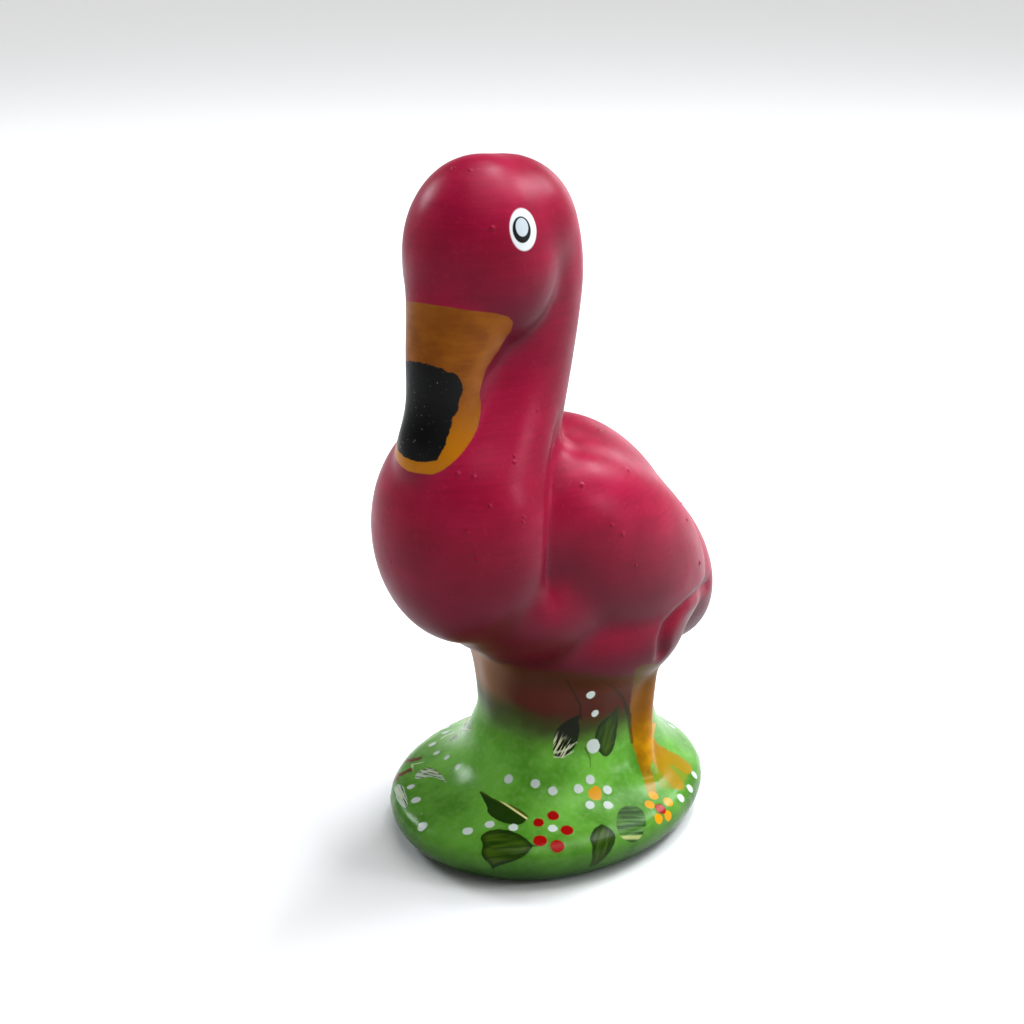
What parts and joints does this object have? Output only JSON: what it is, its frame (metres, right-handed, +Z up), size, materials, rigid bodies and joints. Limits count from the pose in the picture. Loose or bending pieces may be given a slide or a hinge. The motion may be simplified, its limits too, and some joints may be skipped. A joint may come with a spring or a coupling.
{
  "type": "flamingo ornament",
  "caption": "Standing flamingo figure cast whole: upright neck, bill resting on the breast, folded wings and a stout stump on a flat-bottomed oval base. Sits on a shelf as an ornament.",
  "frame": {"origin": "the middle of the flat underside, on the surface the ornament stands on", "axes": "-Y is the way the bird faces, +X is its left side and +Z is up"},
  "size_m": [0.1151, 0.1654, 0.2666],
  "materials": {
    "painted_ceramic": "glossy hand-painted casting: crimson bird, yellow and black bill, green base with dots, leaves and flowers"
  },
  "bodies": {
    "root": {"flamingo": "painted_ceramic"}
  },
  "joints": []
}
